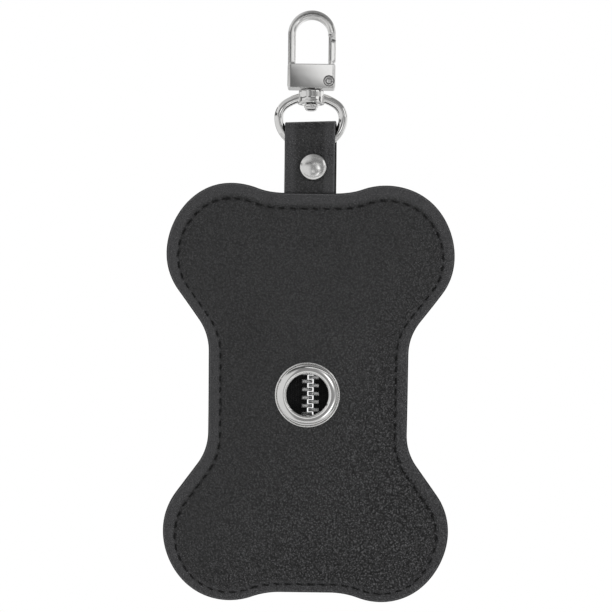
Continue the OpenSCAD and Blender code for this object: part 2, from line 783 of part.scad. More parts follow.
// Coil spring in the block that pushes the gate shut, as the space that it takes up
module gate_spring() {
    length = gate_in - seat_gap - spring_seat - seat_gap;
    color([0.6, 0.6, 0.62])
        translate([spring_seat + seat_gap, 0, spring_z])
            rotate([0, 90, 0])
                difference() {
                    cylinder(h = length, r = spring_d / 2);
                    translate([0, 0, -1])
                        cylinder(h = length + 2, r = spring_d / 2 - 0.35);
                }
}

front_panel();
back_panel();
perimeter_stitching();
eyelet();
eyelet_washer();
zip_tape(-1);  // zip_tape_left
zip_tape(1);  // zip_tape_right
zip_teeth(-1);  // zip_teeth_left
zip_teeth(1);  // zip_teeth_right
zip_top_stops();
zip_bottom_stop();
zip_stitching();
zip_slider();
zip_pull();
tab_strap();
rivet_cap();
rivet_socket();
swivel_ring();
swivel_stud();
hook_frame();
gate();
gate_pin();
gate_spring();
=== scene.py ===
import math

import bpy
import numpy as np
from mathutils import Matrix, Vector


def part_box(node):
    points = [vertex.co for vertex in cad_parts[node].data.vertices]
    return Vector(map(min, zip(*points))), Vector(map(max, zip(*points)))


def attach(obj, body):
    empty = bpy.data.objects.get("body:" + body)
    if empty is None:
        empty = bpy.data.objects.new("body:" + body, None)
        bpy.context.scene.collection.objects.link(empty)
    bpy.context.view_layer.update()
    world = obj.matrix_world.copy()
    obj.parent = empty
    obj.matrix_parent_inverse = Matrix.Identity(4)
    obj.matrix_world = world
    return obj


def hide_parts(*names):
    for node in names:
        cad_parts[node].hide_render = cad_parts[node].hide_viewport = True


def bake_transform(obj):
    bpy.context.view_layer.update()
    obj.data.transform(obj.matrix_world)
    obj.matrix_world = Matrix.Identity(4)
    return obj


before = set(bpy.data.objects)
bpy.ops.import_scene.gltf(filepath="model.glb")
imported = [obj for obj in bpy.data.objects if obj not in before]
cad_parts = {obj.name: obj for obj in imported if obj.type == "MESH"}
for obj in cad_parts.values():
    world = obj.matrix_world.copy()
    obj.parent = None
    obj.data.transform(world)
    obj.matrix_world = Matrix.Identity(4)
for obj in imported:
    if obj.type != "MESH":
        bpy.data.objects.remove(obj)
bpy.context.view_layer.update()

# ----------------------------------------------------------------------
# Front panel. Pebbled black leather 1.2 mm thick, cut as a bone with a dyed edge, sewn to the back
# panel 3.9 mm inside the edge and filled out a little inside the flat rim. Lengths are in mm until
# surface() turns them into metres; shaders and the stage work in metres.


def box_mm(node):
    """The low and high corners of a node of the frame, in millimetres."""
    return [np.array(corner) * 1000 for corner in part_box(node)]


front_low, front_high = box_mm("front_panel")
POUCH_Z = (front_low[2] + front_high[2]) / 2
WIDTH, HEIGHT = 94.2, 136.6
RIM, LEATHER, GAP = 5.5, 1.2, 0.03
SEAM, SEAM_DROP, STITCH, HALF_STITCH = 3.9, 1.2, 3.7, 1.2


def smooth(t):
    """3t^2 - 2t^3 between 0 and 1, and flat outside."""
    t = np.clip(t, 0, 1)
    return t * t * (3 - 2 * t)


def bone_outline(n):
    """n points round the pouch's edge, evenly spaced and counter-clockwise from the right of the
    waist, with their outward directions. One quarter is a straight side, a hollow arc, a straight
    flank, the lobe's arc, the dip's hollow arc and the dip's straight; it is mirrored twice. The
    hollow arc's radius is 0.79 of (w.w - R^2) / 2 (w_x + R), which would touch the lobe."""
    waist, lobe_r, dip, dip_r, hollow = np.array([32.65, 13.3]), 22.2, 2.9, 27.6, 0.79
    lobe = np.array([WIDTH / 2 - lobe_r, HEIGHT / 2 - lobe_r])
    w = lobe - waist
    waist_r = hollow * (w @ w - lobe_r ** 2) / (2 * (w[0] + lobe_r))
    turn = waist + [waist_r, 0]
    to_lobe = lobe - turn
    flank = math.atan2(to_lobe[1], to_lobe[0]) + math.acos((waist_r + lobe_r) / np.hypot(*to_lobe))
    dip_z = HEIGHT / 2 - dip
    up = dip_z + dip_r - lobe[1]
    valley = np.array([lobe[0] - math.sqrt((lobe_r + dip_r) ** 2 - up * up), lobe[1] + up])
    dip_a = math.atan2(up, valley[0] - lobe[0])

    def line(p, q, out):
        t = np.linspace(0, 1, 200, endpoint=False)[:, None]
        return np.hstack([p + t * (np.subtract(q, p)), np.tile(out, (200, 1))])

    def arc(c, r, a0, a1, side):
        a = np.linspace(a0, a1, 600, endpoint=False)
        u = np.stack([np.cos(a), np.sin(a)], 1)
        return np.hstack([c + r * u, side * u])

    f = np.array([math.cos(flank), math.sin(flank)])
    quarter = np.vstack([
        line([waist[0], 0], waist, [1, 0]),
        arc(turn, waist_r, math.pi, flank, -1),
        line(turn + waist_r * f, lobe - lobe_r * f, -f),
        arc(lobe, lobe_r, flank - math.pi, dip_a, 1),
        arc(valley, dip_r, dip_a - math.pi, -math.pi / 2, -1),
        line([valley[0], dip_z], [0, dip_z], [0, 1]),
        [[0, dip_z, 0, 1]],
    ])
    flip_x, flip_z = [-1, 1, -1, 1], [1, -1, 1, -1]
    upper = np.vstack([quarter, (quarter * flip_x)[-2::-1]])
    loop = np.vstack([upper, (upper * flip_z)[-2::-1]])
    s = np.append(0, np.cumsum(np.hypot(*np.diff(loop[:, :2], axis=0).T)))
    at = np.arange(n) / n * s[-1]
    rows = np.stack([np.interp(at, s, loop[:, k]) for k in range(4)], 1)
    rows[:, 2:] /= np.hypot(rows[:, 2], rows[:, 3])[:, None]
    return rows


def settle(x, z):
    """How far hand cutting and sewing leaves the leather from its plain outline, in x and z: a few
    soft pushes, each of (middle x, middle z, reach, push in x, push in z)."""
    pushes = [(42, 34, 17, 1.05, 0), (34, 62, 11, 0.55, 0), (44, -58, 15, -0.85, 0),
              (34, 2, 18, 0.22, 0), (-44, 54, 12, 0.50, 0), (-46, -57, 14, 0.50, 0),
              (-34, -10, 24, 0.26, 0), (-32, 67, 10, 0, 0.40), (-42, 28, 10, 0.20, 0)]
    push = np.zeros(np.shape(x) + (2,))
    for cx, cz, reach, dx, dz in pushes:
        push += np.exp(-((x - cx) ** 2 + (z - cz) ** 2) / reach ** 2)[..., None] * [dx, dz]
    return push[..., 0], push[..., 1]


def room(x, z, d, rise=0, slope=1):
    """Room from the middle plane to a panel, d mm inside the edge: rise smooth((d - rim) / slope),
    and in the middle of the upper half as much as the strap's leather takes up."""
    strap_room, strap_reach = 1.13, 10.1
    hump = strap_room * (1 - smooth((abs(x) - strap_reach) / 5)) * (z > 0)
    return GAP + np.maximum(rise * smooth((d - RIM) / slope), hump)


def grid_faces(rows, columns, close_rows, close_columns):
    """Quads of a grid of points numbered row by row, joined end to end where asked."""
    i = np.arange(rows if close_rows else rows - 1)[:, None]
    j = np.arange(columns if close_columns else columns - 1)[None, :]
    a, b = i * columns, (i + 1) % rows * columns
    k = (j + 1) % columns
    return np.stack([a + j, a + k, b + k, b + j], -1).reshape(-1, 4)


def surface(name, points, faces, mat, body=None, attributes=(), flip=False):
    """A smooth mesh from points in mm and a list of faces, with named values at its points."""
    mesh = bpy.data.meshes.new(name)
    faces = [list(dict.fromkeys(f))[::-1 if flip else 1] for f in np.asarray(faces, object).tolist()]
    mesh.from_pydata((np.asarray(points, float) * 0.001).tolist(), [], faces)
    mesh.polygons.foreach_set("use_smooth", np.ones(len(mesh.polygons), bool))
    for label, values in dict(attributes).items():
        mesh.attributes.new(label, "FLOAT", "POINT").data.foreach_set(
            "value", np.asarray(values, np.float32).ravel())
    mesh.materials.append(mat)
    mesh.update()
    piece = bpy.data.objects.new(name, mesh)
    bpy.context.scene.collection.objects.link(piece)
    if body:
        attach(piece, body)
    return piece


class Shade:
    """A shader socket that can be added, multiplied and so on; each sign makes a Math node."""

    def __init__(self, tree, socket=None):
        self.tree, self.socket = tree, socket

    def node(self, kind, inputs=None, out=0, **settings):
        """Any other node: its settings, what goes into its sockets, and the output taken."""
        n = self.tree.nodes.new(kind)
        for key, value in settings.items():
            setattr(n, key, value)
        for key, value in (inputs or {}).items():
            if isinstance(value, Shade):
                self.tree.links.new(value.socket, n.inputs[key])
            else:
                n.inputs[key].default_value = value
        return Shade(self.tree, n.outputs[out])

    def math(self, operation, a, b):
        return self.node("ShaderNodeMath", {0: a, 1: b}, operation=operation)

    def __add__(self, o): return self.math("ADD", self, o)
    def __radd__(self, o): return self.math("ADD", o, self)
    def __sub__(self, o): return self.math("SUBTRACT", self, o)
    def __rsub__(self, o): return self.math("SUBTRACT", o, self)
    def __mul__(self, o): return self.math("MULTIPLY", self, o)
    def __rmul__(self, o): return self.math("MULTIPLY", o, self)
    def __truediv__(self, o): return self.math("DIVIDE", self, o)
    def __rtruediv__(self, o): return self.math("DIVIDE", o, self)
    def __pow__(self, o): return self.math("POWER", self, o)
    def __rpow__(self, o): return self.math("POWER", o, self)

    def sine(self):
        return self.math("SINE", self, 0.0)

    def step(self, low, high):
        """A smooth step from 0 at low to 1 at high."""
        return self.node("ShaderNodeMapRange", {"Value": self, "From Min": low, "From Max": high},
                         interpolation_type="SMOOTHSTEP")

    def band(self, a, b, c, d):
        """0 below a, 1 from b to c and 0 above d."""
        return self.step(a, b) * (1.0 - self.step(c, d))

    def place(self):
        """Where a point is on its object, in metres."""
        return self.node("ShaderNodeTexCoord", out="Object")

    def split(self):
        """The x, y and z of a vector."""
        parts = self.node("ShaderNodeSeparateXYZ", {0: self}).socket.node.outputs
        return [Shade(self.tree, part) for part in parts]

    def mix(self, a, b):
        """Colour a where this is 0 and colour b where it is 1."""
        a, b = ((*c, 1) if isinstance(c, tuple) else c for c in (a, b))
        return self.node("ShaderNodeMix", {0: self, 6: a, 7: b}, 2, data_type="RGBA")

    def noise(self, at, scale, detail=2.0):
        return self.node("ShaderNodeTexNoise", {"Vector": at, "Scale": scale, "Detail": detail})

    def value(self, name):
        """A value kept at the mesh's points."""
        return self.node("ShaderNodeAttribute", out="Fac", attribute_name=name)

    def bump(self, height, distance, strength=1.0, under=None):
        more = {"Normal": under} if under else {}
        return self.node("ShaderNodeBump",
                         {"Height": height, "Distance": distance, "Strength": strength, **more})


def material(name, fixed):
    """A material with its fixed values set; returns it, a Shade to build with and a way to feed
    the shader's inputs."""
    made = bpy.data.materials.new(name)
    made.use_nodes = True
    tree = made.node_tree
    shader = tree.nodes["Principled BSDF"]
    for key, value in fixed.items():
        shader.inputs[key].default_value = value

    def feed(**links):
        for key, shade in links.items():
            tree.links.new(shade.socket, shader.inputs[key.replace("_", " ")])
    return made, Shade(tree), feed


def leather_material():
    """Embossed pebbles about 0.6 mm across, over broad soft creases and more open towards the lower
    right. The colour carries painted light: the pebbles' tops are lighter, with painted highlights,
    and their hollows darker with painted shade, both stronger towards the lower right; the flat rim is
    painted a little lighter, a painted highlight runs just inside the rounded cut edge and along the
    strap's right edge, and a painted shadow lies in the seam's groove. The cut edge carries edge paint
    and the inner face is matt and fibrous. "edge" is the distance from the cut edge in mm."""
    made, s, feed = material("leather_black", {"Specular IOR Level": 0.26})
    at = s.place()
    wander = s.node("ShaderNodeVectorMath",
                    {0: s.node("ShaderNodeTexNoise", {"Vector": at, "Scale": 750.0}, 1),
                     1: (0.0007, 0.0007, 0.0007)}, operation="MULTIPLY")
    moved = s.node("ShaderNodeVectorMath", {0: at, 1: wander}, operation="ADD")
    pebble = 1.0 - s.node("ShaderNodeTexVoronoi", {"Vector": moved, "Scale": 1750.0}, 0,
                          feature="SMOOTH_F1").step(0.1, 0.75)
    crease = s.node("ShaderNodeTexVoronoi", {"Vector": moved, "Scale": 330.0}, 0,
                    feature="DISTANCE_TO_EDGE").step(0.0, 0.16)
    broad = s.noise(at, 45.0, 3.0)
    fine = s.noise(at, 4200.0, 2.0)
    edge = s.value("edge")
    inner = s.value("inner").step(0.35, 0.65)
    cut = (1.0 - edge.step(0.1, 0.42)) * (1.0 - inner)
    # Painted highlight: a light line just inside the cut edge on the outer face, and along the strap's
    # edge where its values say.
    painted_edge_highlight = edge.band(0.25, 0.4, 0.5, 0.8) * (1.0 - inner) + s.value("painted_edge_highlight")
    rim = 1.0 - edge.step(3.0, 4.6)
    x, _, z = at.split()
    # Grows towards the lower right: it opens the grain's relief and strengthens the pebbles' painted
    # highlights and painted shade.
    lower_right_grain_and_painted_light = (x * 8.0 - z * 6.0).step(0.55, 1.2)
    # Painted light: the pebbles' tops are lighter than their hollows, mixed with a random broad tone;
    # the next two lines add painted highlights on the tops and painted shade in the hollows.
    colour = (pebble * 0.5 + broad * 0.5).mix((0.0138, 0.0138, 0.0142), (0.0272, 0.0272, 0.0278))
    colour = (pebble.step(0.55, 1.0) * (lower_right_grain_and_painted_light * 0.5 + 0.15)).mix(colour, (0.092, 0.092, 0.095))
    colour = ((1.0 - pebble.step(0.0, 0.4)) * (lower_right_grain_and_painted_light * 0.5 + 0.2)).mix(colour, (0.004, 0.004, 0.004))
    # Painted light: the flat rim 3 to 4.6 mm from the edge is lightened, as if it caught the light.
    colour = (rim * 0.5).mix(colour, (0.050, 0.050, 0.052))
    # Painted highlight on the rounded edges.
    colour = (painted_edge_highlight * 0.5).mix(colour, (0.075, 0.075, 0.078))
    # Painted shadow: the leather is darkened along the seam's groove by the stitches.
    colour = (s.value("seam") * 0.45).mix(colour, (0.004, 0.004, 0.004))
    colour = cut.mix(colour, (0.006, 0.006, 0.006))
    colour = inner.mix(colour, (0.014, 0.0135, 0.013))
    height = (pebble * 0.8 + crease * 0.5 + fine * 0.12) * (lower_right_grain_and_painted_light * 0.9 + 0.75)
    height = height * (1.0 - cut) * (1.0 - inner) + s.noise(at, 3000.0, 4.0) * inner * 0.6
    feed(Base_Color=colour,
         Roughness=0.48 + broad * 0.08 - pebble * 0.16 - cut * 0.10 + inner * 0.35,
         Normal=s.bump(height, 0.00036, 1.0))
    return made


leather = leather_material()


def seam_line(rows):
    """The seam's line, 3.9 mm inside the edge and sewn 1.2 mm low, and its length at each point."""
    seam = rows[:, :2] - SEAM * rows[:, 2:] - [0, SEAM_DROP]
    closed = np.vstack([seam, seam[:1]])
    return closed, np.append(0, np.cumsum(np.hypot(*np.diff(closed, axis=0).T)))


def panel_details(x, z, d, from_seam, to_hole):
    """How far the leather's face stands below its plain height: the cut edge rounds off over
    0.4 mm, the seam pulls in a groove with a deeper pit at each needle hole, and the flat rim
    and the middle swell softly."""
    edge = 0.4 * (1 - np.sqrt(np.clip(1 - (1 - np.clip(d / 0.4, 0, 1)) ** 2, 0, 1)))
    groove = 0.13 * np.exp(-(from_seam / 0.6) ** 2)
    pits = 0.26 * np.exp(-(from_seam ** 2 + to_hole ** 2) / 0.4 ** 2)
    swell = -0.10 * np.sin(np.clip((d - 0.4) / 3.0, 0, 1) * math.pi)
    soft = smooth((d - 5) / 12) * (0.10 * np.sin(x / 12.0 + 0.6) * np.sin(z / 15.0 + 0.4)
                                   + 0.04 * np.sin(z / 9.3 - x / 13.0))
    return edge + groove + pits + swell + soft


def bone_panel(name, side, centre, reach, slope, flat):
    """A panel's skin as one closed grid: from the hole across the outer face to the edge, over
    the cut edge, and back over the inner face. side is -1 for the front and 1 for the back,
    reach(a) is how far the hole's edge is from its centre at angle a, slope the width over which
    the panel rises, and flat(x, z) is 1 where the leather is held flat round the hole. Inside
    9 mm from the edge the grid's lines run straight to the hole's centre, so they never cross."""
    n, band = 840, 9.0
    low, high = box_mm(name.replace("leather", "panel"))
    rise = (high[1] if side > 0 else -low[1]) - LEATHER - GAP
    rows = bone_outline(n)
    point, out = rows[:, :2], rows[:, 2:]
    run = seam_line(rows)[1]
    pitch = run[-1] / math.floor(run[-1] / STITCH)
    along = (run[:-1] + SEAM_DROP * out[:, 0]) / pitch % 1 - 0.5
    to_hole = abs(abs(along) * pitch - HALF_STITCH)
    seam_at = SEAM + SEAM_DROP * out[:, 1]
    ring = point - band * out
    angle = np.arctan2(ring[:, 1] - centre[1], ring[:, 0] - centre[0])
    hole = centre + reach(angle)[:, None] * np.stack([np.cos(angle), np.sin(angle)], 1)
    insets = np.concatenate([np.arange(8.2, 6.4, -0.8), np.arange(6.1, 2.0, -0.22),
                             [1.7, 1.2, 0.8, 0.5, 0.3, 0.15, 0.06, 0]])
    across = np.linspace(0, 1, 50)
    outline = bone_outline(1200)[:, :2]
    grid, edge, inner, thread = [], [], [], []

    def inside(p):
        """How far each point of p is from the outline."""
        return np.array([np.hypot(*(outline - q).T).min() for q in p])

    def add(p, d, depth, face):
        """One row of the grid: depth 0 is the outer face and 1 the inner face."""
        x, z = p[:, 0], p[:, 1]
        below = panel_details(x, z, d, d - seam_at, to_hole) * (1 - flat(x, z)) if face else 0
        y = room(x, z, d, rise, slope) + (LEATHER - below) * (1 - depth)
        dx, dz = settle(x, z)
        grid.append(np.stack([x + dx, side * y, z + dz + POUCH_Z], 1))
        edge.append(np.full(n, band) if depth == 1 else d + np.zeros(n))
        inner.append(np.full(n, depth))
        near = abs(along) * pitch < HALF_STITCH + 0.3
        # Where the seam's groove gets its painted shadow: near the seam's line, by each stitch.
        thread.append(np.exp(-((d - seam_at) / 0.34) ** 2) * near * face)

    for t in across:
        p = hole + t * (ring - hole)
        add(p, inside(p), 0.0, True)
    for d in insets:
        add(point - d * out, d, 0.0, True)
    for depth in (0.45, 0.8):
        add(point, 0.0, depth, False)
    for d in (0.0, 0.5, 2.0, 5.5, 7.2):
        add(point - d * out, d, 1.0, False)
    for t in across[::-4]:
        p = hole + t * (ring - hole)
        add(p, inside(p), 1.0, False)
    add(hole, inside(hole), 0.5, False)
    faces = grid_faces(len(grid), n, True, True)
    return surface(name, np.vstack(grid), faces, leather, "pouch",
                   {"edge": np.hstack(edge), "inner": np.hstack(inner), "seam": np.hstack(thread)},
                   flip=side > 0)


eyelet_low, eyelet_high = box_mm("eyelet")
EYELET_Z = (eyelet_low[2] + eyelet_high[2]) / 2
drop = EYELET_Z - POUCH_Z
seat_r, flat_r = 7.23, 10.8
front = bone_panel("front_leather", -1, (0, drop), reach=lambda a: seat_r + 0 * a, slope=16.0,
                   flat=lambda x, z: 1 - smooth((np.hypot(x, z - drop) - flat_r) / 4))
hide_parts("front_panel")

# ----------------------------------------------------------------------
# Back panel. The same leather and outline, with a long window for the zip. The window's edge is
# cut clean and sewn down on the zip tapes, so the leather there lies flat.

WINDOW_X, WINDOW_R, WINDOW_SIDE = 1.0, 6.0, 34.0


def slot_reach(a):
    """How far the window's edge is from its middle at angle a: r / |cos a| on the straight sides,
    and on the ends where the line meets a circle of radius r round the side's end."""
    r, side = WINDOW_R, WINDOW_SIDE
    c, s = abs(np.cos(a)), abs(np.sin(a))
    straight = r / np.maximum(c, 1e-6)
    end = side * s + np.sqrt(np.maximum(r * r - (side * c) ** 2, 0))
    return np.where(straight * s < side, straight, end)


def by_window(x, z):
    """1 within 3 mm of the window and 0 from 7 mm on."""
    away = np.hypot(x - WINDOW_X, np.maximum(abs(z) - WINDOW_SIDE, 0)) - WINDOW_R
    return 1 - smooth((away - 3) / 4)


back = bone_panel("back_leather", 1, (WINDOW_X, 0), reach=slot_reach, slope=11.5, flat=by_window)
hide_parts("back_panel")

# ----------------------------------------------------------------------
# Seam. Black bonded thread in a lockstitch through both panels: on each face every stitch comes
# up through one needle hole, lies over the leather a little askew and goes down the next one.


def thread_material():
    """Three plies twisted together: a sine along and round the thread, and loose fibres."""
    made, s, feed = material("thread_black", {"Specular IOR Level": 0.15})
    twist = (s.value("along") * 26.0 + s.value("round") * 6.2832).sine()
    fibre = s.noise(s.place(), 9000.0, 2.0)
    light = twist * 0.25 + 0.5 + (fibre - 0.5) * 0.5
    feed(Base_Color=light.mix((0.003, 0.003, 0.003), (0.015, 0.015, 0.015)),
         Roughness=0.6 + fibre * 0.2,
         Normal=s.bump(twist + fibre * 0.3, 0.00006, 0.8))
    return made


thread = thread_material()


def angles(n):
    """n angles evenly round a circle."""
    return np.arange(n) / n * 2 * math.pi


def stitch_row(places, skew=0.10, thick=0.22, sink=0.40):
    """Stitches as capsules on an arch: at u from -1 to 1 along the thread its middle is
    u * half-length along the seam, sink * u^6 down into the leather, and skew * u sideways.
    places is a list of (middle, along, outwards, half-length); returns points, faces, values."""
    u = np.array([-1, -0.97, -0.9, -0.75, -0.5, -0.2, 0.2, 0.5, 0.75, 0.9, 0.97, 1])
    size = thick * np.sqrt(np.clip(1 - (abs(u) ** 9), 0.02, 1))
    sides = 10
    a = angles(sides)
    points, faces, along, around = [], [], [], []
    base = 0
    for middle, direction, outwards, half in places:
        sideways = np.cross(direction, outwards)
        centre = (middle + np.outer(u * half, direction) - np.outer(sink * abs(u) ** 6, outwards)
                  + np.outer(skew * u, sideways))
        ring = np.outer(np.cos(a), sideways) + np.outer(np.sin(a), outwards)
        points.append((centre[:, None] + size[:, None, None] * ring[None]).reshape(-1, 3))
        faces.append(grid_faces(len(u), sides, False, True) + base)
        along.append(np.repeat(u * half, sides))
        around.append(np.tile(np.arange(sides) / sides, len(u)))
        base += len(u) * sides
    values = {"along": np.hstack(along), "round": np.hstack(around)}
    return np.vstack(points), np.vstack(faces), values


PROUD = 0.06


def seam_places(side):
    """Where the seam's stitches lie on one face, evenly spaced along the seam's line, with the
    thread's middle PROUD mm above the leather."""
    half, step = 0.98, 0.8
    closed, run = seam_line(bone_outline(2400))
    count = math.floor(run[-1] / STITCH)
    middles = (np.arange(count) + 0.5) * run[-1] / count
    found = []
    for s in middles:
        a, m, b = (np.array([np.interp(t, run, closed[:, k]) for k in (0, 1)])
                   for t in (s - step, s, s + step))
        y = room(m[0], m[1], SEAM) + LEATHER + PROUD
        d = (b - a) / np.hypot(*(b - a))
        m = m + settle(*m)
        found.append((np.array([m[0], side * y, m[1] + POUCH_Z]), np.array([d[0], 0, d[1]]),
                      np.array([0, side, 0]), half))
    return found


points, faces, values = stitch_row(seam_places(-1) + seam_places(1))
seam = surface("seam_thread", points, faces, thread, "pouch", values)
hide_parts("perimeter_stitching")

# ----------------------------------------------------------------------
# Eyelet. Pressed sheet brass with bright nickel: a stepped outer ring, a broad rolled crown and
# a throat for the bag. Behind the leather its end is curled over a washer.


def nickel_material(name, tint, rough, round_above=None, painted_shade=None):
    """Polished plate: nearly clean, with a faint uneven polish. Edges are polished round by 0.3 mm,
    and above a height in metres, where that is given, by 1.1 mm. The last argument, where given, is a
    function of x and z in mm that is 1 where shade is painted onto the plate as near-black colour, in
    hollows, in gaps and under other parts."""
    made, s, feed = material(name, {"Metallic": 1.0})
    at = s.place()
    cloud = s.noise(at, 160.0, 3.0)
    dark = tuple(0.88 * c for c in tint)
    soft = s.node("ShaderNodeBevel", {"Radius": 0.0003}, samples=8)
    if round_above is not None:
        more = s.node("ShaderNodeBevel", {"Radius": 0.0011}, samples=12)
        k = at.split()[2].step(round_above - 0.0002, round_above + 0.0002)
        soft = s.node("ShaderNodeMix", {0: k, 4: soft, 5: more}, 1, data_type="VECTOR")
    colour = cloud.mix(dark, tint)
    if painted_shade is not None:
        x, _, z = at.split()
        # Painted shade: the colour goes towards near black where the mask is 1.
        colour = (painted_shade(x * 1000.0, z * 1000.0) * 0.85).mix(colour, (0.05, 0.05, 0.05))
    feed(Base_Color=colour,
         Roughness=rough + cloud * 0.03,
         Normal=s.bump(s.noise(at, 300.0, 1.0), 0.000004, 0.5, soft))
    return made


nickel = nickel_material("nickel_sheet", (0.90, 0.895, 0.885), 0.035)


def revolve(profile, centre, axis, columns, closed=True):
    """Points and faces of a surface of revolution: profile is a list of (radius, height) in mm,
    and height runs along axis ("y", "-y" or "z") from centre."""
    profile = np.array(profile, float)
    a = angles(columns)
    r, h = profile[:, :1], profile[:, 1:]
    u, v, w = r * np.cos(a), r * np.sin(a), np.broadcast_to(h, (len(profile), columns))
    order = {"y": (u, w, v), "-y": (u, -w, v), "z": (u, v, w)}[axis]
    points = np.stack(order, -1).reshape(-1, 3) + centre
    return points, grid_faces(len(profile), columns, closed, True)


def turned(name, profile, centre, axis, mat, body, columns=96, closed=True):
    """A piece that is a surface of revolution."""
    points, faces = revolve(profile, centre, axis, columns, closed)
    return surface(name, points, faces, mat, body, flip=axis == "y")


def rounded(corners):
    """A profile through corners given as (radius, height, fillet). A fillet is the curve
    (1 - t)^2 a + 2t (1 - t) p + t^2 b from fillet mm before the corner p to fillet mm after it."""
    corners = np.array(corners, float)
    t = np.linspace(0, 1, 6)[:, None]
    path = []
    for k, (x, y, f) in enumerate(corners):
        p = np.array([x, y])
        if f == 0:
            path.append(p)
            continue
        before, after = corners[k - 1][:2], corners[(k + 1) % len(corners)][:2]
        a = p + (before - p) / np.hypot(*(before - p)) * f
        b = p + (after - p) / np.hypot(*(after - p)) * f
        path.extend((1 - t) ** 2 * a + 2 * t * (1 - t) * p + t * t * b)
    return np.array(path)


face = -front_low[1] + GAP
tail = -eyelet_high[1]
crown, crown_r = 0.92, 7.5
eyelet_profile = rounded([
    (6.80, tail + 0.45, 0.0), (6.88, tail + 0.12, 0.10), (7.25, tail + 0.01, 0.12),
    (7.60, tail + 0.14, 0.10), (7.68, tail + 0.42, 0.0), (7.45, tail + 0.50, 0.0),
    (7.20, tail + 0.60, 0.0), (7.20, face, 0.0), (10.58, face, 0.08), (10.60, face + 0.30, 0.12),
    (10.20, face + 0.38, 0.06), (10.10, face + 0.06, 0.02), (9.96, face + 0.08, 0.02),
    (9.90, face + 0.50, 0.06),
    *[(r, face + crown - 0.0625 * (r - crown_r) ** 2, 0.0) for r in np.linspace(9.84, crown_r, 18)],
    (7.30, face + 0.90, 0.0), (7.16, face + 0.84, 0.03), (7.12, face + 0.74, 0.03),
    (6.98, face + 0.68, 0.06), (6.86, face + 0.46, 0.08), (6.82, face - 0.15, 0.08)])
eyelet = turned("outlet_eyelet", eyelet_profile, (0, 0, EYELET_Z), "-y", nickel, "pouch", 128)
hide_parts("eyelet")


def dress(nodes, mat):
    """Give one material to nodes that stay as the CAD made them."""
    for node in nodes:
        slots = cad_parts[node].data.materials
        slots.clear()
        slots.append(mat)


dress(["eyelet_washer"], nickel)

# ----------------------------------------------------------------------
# Zip. Two woven polyester tapes sewn behind the window. Each carries a row of stamped metal
# teeth, clamped over the tape's edge, that lock together on the zip's centre line.

tape_low, tape_high = box_mm("zip_tape_left")
TAPE_Y = (tape_low[1] + tape_high[1]) / 2


def tape_material():
    """Twill weave: ribs along the tape crossed by slanting picks."""
    made, s, feed = material("zip_tape_black", {"Specular IOR Level": 0.2})
    at = s.place()
    x, _, z = at.split()
    rib = (x * 7800.0).sine()
    pick = (z * 9500.0 + x * 4200.0).sine()
    fuzz = s.noise(at, 4000.0, 3.0)
    weave = rib * 0.5 + pick * 0.5
    feed(Base_Color=(weave * 0.3 + fuzz * 0.7).mix((0.004, 0.004, 0.004), (0.020, 0.020, 0.021)),
         Roughness=0.78 + fuzz * 0.15,
         Normal=s.bump(weave + fuzz, 0.00012, 0.8))
    return made


tape = tape_material()


def tube_faces(rings, n):
    """Faces of a tube made of rings of n points, with both ends capped."""
    last = (rings - 1) * n
    caps = [list(range(n))[::-1], [last + k for k in range(n)]]
    return grid_faces(rings, n, False, True).tolist() + caps


def rounded_box_outline(w, h, r, side=8, corner=5):
    """A rectangle w by h with corners of radius r, as a closed list of points."""
    found = []
    for k, (sx, sy) in enumerate([(1, 1), (-1, 1), (-1, -1), (1, -1)]):
        a = (np.linspace(0, 1, corner) + k) * math.pi / 2
        found.append(np.stack([sx * (w / 2 - r) + r * np.cos(a), sy * (h / 2 - r) + r * np.sin(a)], 1))
    path = []
    for k in range(4):
        path.append(found[k])
        p, q = found[k][-1], found[(k + 1) % 4][0]
        t = np.linspace(0, 1, side)[1:-1, None]
        path.append(p + t * (q - p))
    return np.vstack(path)


X, Y, Z = np.eye(3)
TAPE_W, TAPE_T, TAPE_HALF, TAPE_X = 13.4, 0.52, 46.4, 7.75
for side, label in ((-1, "left"), (1, "right")):
    section = rounded_box_outline(TAPE_W, TAPE_T, 0.2, side=16)
    heights = np.linspace(-TAPE_HALF, TAPE_HALF, 60)
    flat = np.outer(section[:, 0], X) + np.outer(section[:, 1], Y)
    points = [flat + [WINDOW_X + side * TAPE_X, TAPE_Y + 0.02 * math.sin(h / 5), POUCH_Z + h]
              for h in heights]
    piece = surface("zip_tape_cloth_" + label, np.vstack(points),
                    tube_faces(len(heights), len(section)), tape, "pouch")
    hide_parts("zip_tape_" + label)


def tooth_metal():
    """Stamped white metal: bright on the high spots, speckled by the stamping, and darker along the
    meshing heads on the zip's centre line."""
    made, s, feed = material("zip_metal", {"Metallic": 1.0})
    at = s.place()
    speck = s.noise(at, 4200.0, 2.0)
    x = at.split()[0] * 1000.0 - WINDOW_X
    heads = 1.0 - (x * x).step(0.16, 0.36)
    colour = speck.mix((0.62, 0.62, 0.63), (0.92, 0.92, 0.91))
    feed(Base_Color=(heads * (0.7 - speck * 0.5)).mix(colour, (0.06, 0.06, 0.06)),
         Roughness=0.18 + speck * 0.16,
         Normal=s.bump(speck, 0.000012, 0.3))
    return made


zip_metal = tooth_metal()


